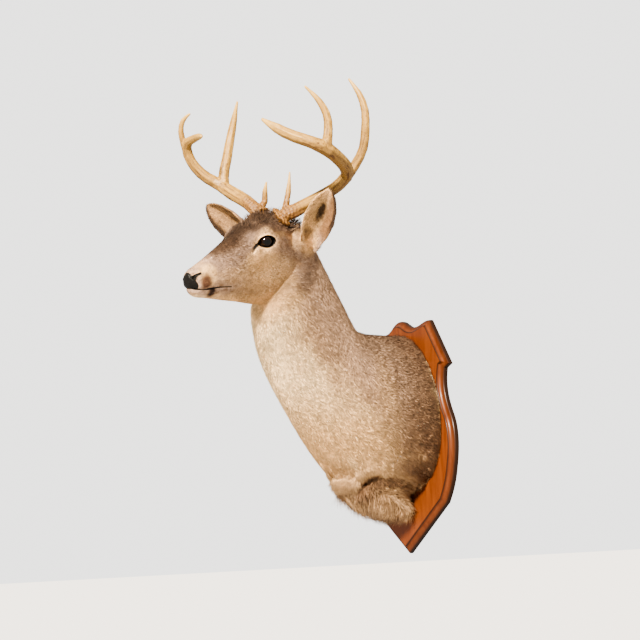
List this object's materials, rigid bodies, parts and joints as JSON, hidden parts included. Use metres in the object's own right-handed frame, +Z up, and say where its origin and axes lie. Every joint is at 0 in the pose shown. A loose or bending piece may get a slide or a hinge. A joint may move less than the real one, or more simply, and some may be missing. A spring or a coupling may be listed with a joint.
{
  "type": "deer shoulder mount",
  "caption": "Taxidermy shoulder mount of an antlered white-tailed buck, head turned to its left, on a shaped wooden wall board.",
  "frame": {"origin": "middle of the wooden board's flat back face, which lies against the wall", "axes": "+Y into the wall, so the animal looks out along -Y; +X to the animal's own left; +Z up the board"},
  "size_m": [0.5029, 0.5392, 0.9412],
  "materials": {
    "coat": "short matt hair",
    "pale_coat": "short pale hair",
    "long_hair": "long coarse hair",
    "nose_leather": "damp black leather",
    "eye_glass": "polished dark glass",
    "antler_bone": "satin, worn pale on the ridges",
    "stained_wood": "satin varnish"
  },
  "bodies": {
    "root": {"board": "stained_wood", "trunk": "coat", "neck": "coat", "head": "coat", "lower_jaw": "pale_coat", "nose": "nose_leather", "brisket_fringe": "long_hair", "ear_left": "pale_coat", "ear_right": "pale_coat", "eye_left": "eye_glass", "eye_right": "eye_glass", "antler_left_beam": "antler_bone", "antler_left_beam_tip": "antler_bone", "antler_left_brow_tine": "antler_bone", "antler_left_second_tine": "antler_bone", "antler_left_third_tine": "antler_bone", "antler_right_beam": "antler_bone", "antler_right_beam_tip": "antler_bone", "antler_right_brow_tine": "antler_bone", "antler_right_second_tine": "antler_bone", "antler_right_third_tine": "antler_bone"}
  },
  "joints": []
}
